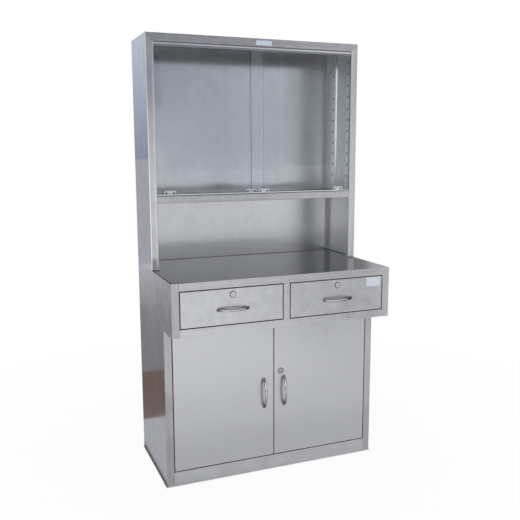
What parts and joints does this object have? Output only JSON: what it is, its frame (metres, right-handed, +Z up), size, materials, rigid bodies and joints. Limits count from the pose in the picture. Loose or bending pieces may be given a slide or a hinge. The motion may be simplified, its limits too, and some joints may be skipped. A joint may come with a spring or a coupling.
{
  "type": "syringe cabinet",
  "caption": "Stainless-steel clinic cabinet: drawers over a hinged-door cupboard, and above the worktop a shallow hutch with an open niche under a sliding-glass case.",
  "frame": {"origin": "on the floor, under the middle of the cabinet's outer box, pulls included", "axes": "+Z up, -Y the front with doors and drawers, +X to the right of someone who faces the front"},
  "size_m": [0.9, 0.563, 1.73],
  "materials": {
    "stainless": "fine brushed, satin",
    "zinc_steel": "zinc plated",
    "pilaster_steel": "bright rolled",
    "chrome": "polished",
    "lock_steel": "satin nickel",
    "track_aluminium": "bright anodised",
    "shoe_metal": "bright plated",
    "glass": "clear, faintly blue-green",
    "nylon": "natural nylon",
    "foot_plastic": "black",
    "catch_plastic": "dark grey"
  },
  "bodies": {
    "carcass": {"base_back": "stainless", "base_floor": "stainless", "base_left_side": "stainless", "base_right_side": "stainless", "base_shelf": "stainless", "base_shelf_brackets": "zinc_steel", "door_pivot_blocks": "nylon", "drawer_deck": "stainless", "drawer_divider": "stainless", "drawer_outer_slides": "zinc_steel", "drawer_slide_brackets": "zinc_steel", "glass_bottom_track": "track_aluminium", "glass_top_track": "track_aluminium", "hutch_back": "stainless", "hutch_left_side": "stainless", "hutch_right_side": "stainless", "hutch_shelf": "stainless", "hutch_top": "stainless", "levelling_feet": "foot_plastic", "magnetic_catches": "catch_plastic", "shelf_pilasters": "pilaster_steel", "worktop": "stainless"},
    "left_drawer": {"left_drawer_front": "stainless", "left_drawer_tray": "stainless", "left_drawer_handle": "chrome", "left_drawer_inner_slides": "zinc_steel", "left_drawer_lock_barrel": "chrome"},
    "left_drawer_middle": {"left_drawer_middle_slides": "zinc_steel"},
    "left_drawer_lock": {"left_drawer_lock_plug": "lock_steel"},
    "left_door": {"left_door_skin": "stainless", "left_door_liner": "stainless", "left_door_handle": "chrome", "left_door_pivot_pins": "chrome"},
    "left_glass": {"left_glass_pane": "glass", "left_glass_shoes": "shoe_metal"},
    "left_glass_wheel_1": {"left_glass_wheel_1": "nylon"},
    "left_glass_wheel_2": {"left_glass_wheel_2": "nylon"},
    "right_drawer": {"right_drawer_front": "stainless", "right_drawer_tray": "stainless", "right_drawer_handle": "chrome", "right_drawer_inner_slides": "zinc_steel", "right_drawer_lock_barrel": "chrome"},
    "right_drawer_middle": {"right_drawer_middle_slides": "zinc_steel"},
    "right_drawer_lock": {"right_drawer_lock_plug": "lock_steel"},
    "right_door": {"right_door_skin": "stainless", "right_door_liner": "stainless", "right_door_handle": "chrome", "right_door_pivot_pins": "chrome", "door_lock_barrel": "chrome"},
    "right_glass": {"right_glass_pane": "glass", "right_glass_shoes": "shoe_metal"},
    "right_glass_wheel_1": {"right_glass_wheel_1": "nylon"},
    "right_glass_wheel_2": {"right_glass_wheel_2": "nylon"},
    "door_lock": {"door_lock_plug": "lock_steel"}
  },
  "joints": [
    {"name": "left_drawer_slide", "type": "slide", "parent": "carcass", "child": "left_drawer", "axis": [0, -1, 0], "range_m": [0, 0.4]},
    {"name": "left_drawer_middle_slide", "type": "slide", "parent": "carcass", "child": "left_drawer_middle", "axis": [0, -1, 0], "range_m": [0, 0.2]},
    {"name": "left_drawer_lock_turn", "type": "hinge", "parent": "left_drawer", "child": "left_drawer_lock", "pos_m": [-0.2165, -0.2535, 0.7745], "axis": [0, -1, 0], "range_deg": [0, 90]},
    {"name": "left_door_hinge", "type": "hinge", "parent": "carcass", "child": "left_door", "pos_m": [-0.397, -0.1195, 0.343], "axis": [0, 0, -1], "range_deg": [0, 110]},
    {"name": "left_glass_slide", "type": "slide", "parent": "carcass", "child": "left_glass", "axis": [1, 0, 0], "range_m": [0, 0.391]},
    {"name": "left_glass_wheel_1_spin", "type": "hinge", "parent": "left_glass", "child": "left_glass_wheel_1", "pos_m": [-0.3655, 0.0486, 1.1258], "axis": [0, 1, 0], "continuous": true},
    {"name": "left_glass_wheel_2_spin", "type": "hinge", "parent": "left_glass", "child": "left_glass_wheel_2", "pos_m": [-0.0255, 0.0486, 1.1258], "axis": [0, 1, 0], "continuous": true},
    {"name": "right_drawer_slide", "type": "slide", "parent": "carcass", "child": "right_drawer", "axis": [0, -1, 0], "range_m": [0, 0.4]},
    {"name": "right_drawer_middle_slide", "type": "slide", "parent": "carcass", "child": "right_drawer_middle", "axis": [0, -1, 0], "range_m": [0, 0.2]},
    {"name": "right_drawer_lock_turn", "type": "hinge", "parent": "right_drawer", "child": "right_drawer_lock", "pos_m": [0.2165, -0.2535, 0.7745], "axis": [0, -1, 0], "range_deg": [0, 90]},
    {"name": "right_door_hinge", "type": "hinge", "parent": "carcass", "child": "right_door", "pos_m": [0.397, -0.1195, 0.343], "axis": [0, 0, 1], "range_deg": [0, 110]},
    {"name": "right_glass_slide", "type": "slide", "parent": "carcass", "child": "right_glass", "axis": [-1, 0, 0], "range_m": [0, 0.391]},
    {"name": "right_glass_wheel_1_spin", "type": "hinge", "parent": "right_glass", "child": "right_glass_wheel_1", "pos_m": [0.0255, 0.0381, 1.1258], "axis": [0, -1, 0], "continuous": true},
    {"name": "right_glass_wheel_2_spin", "type": "hinge", "parent": "right_glass", "child": "right_glass_wheel_2", "pos_m": [0.3655, 0.0381, 1.1258], "axis": [0, -1, 0], "continuous": true},
    {"name": "door_lock_turn", "type": "hinge", "parent": "right_door", "child": "door_lock", "pos_m": [0.031, -0.1285, 0.413], "axis": [0, 1, 0], "range_deg": [0, 90]}
  ],
  "couplings": [
    {"joint": "left_drawer_middle_slide", "follows": "left_drawer_slide", "ratio": 0.5},
    {"joint": "left_glass_wheel_1_spin", "follows": "left_glass_slide", "rad_per_m": 222.22},
    {"joint": "left_glass_wheel_2_spin", "follows": "left_glass_slide", "rad_per_m": 222.22},
    {"joint": "right_drawer_middle_slide", "follows": "right_drawer_slide", "ratio": 0.5},
    {"joint": "right_glass_wheel_1_spin", "follows": "right_glass_slide", "rad_per_m": 222.22},
    {"joint": "right_glass_wheel_2_spin", "follows": "right_glass_slide", "rad_per_m": 222.22}
  ]
}
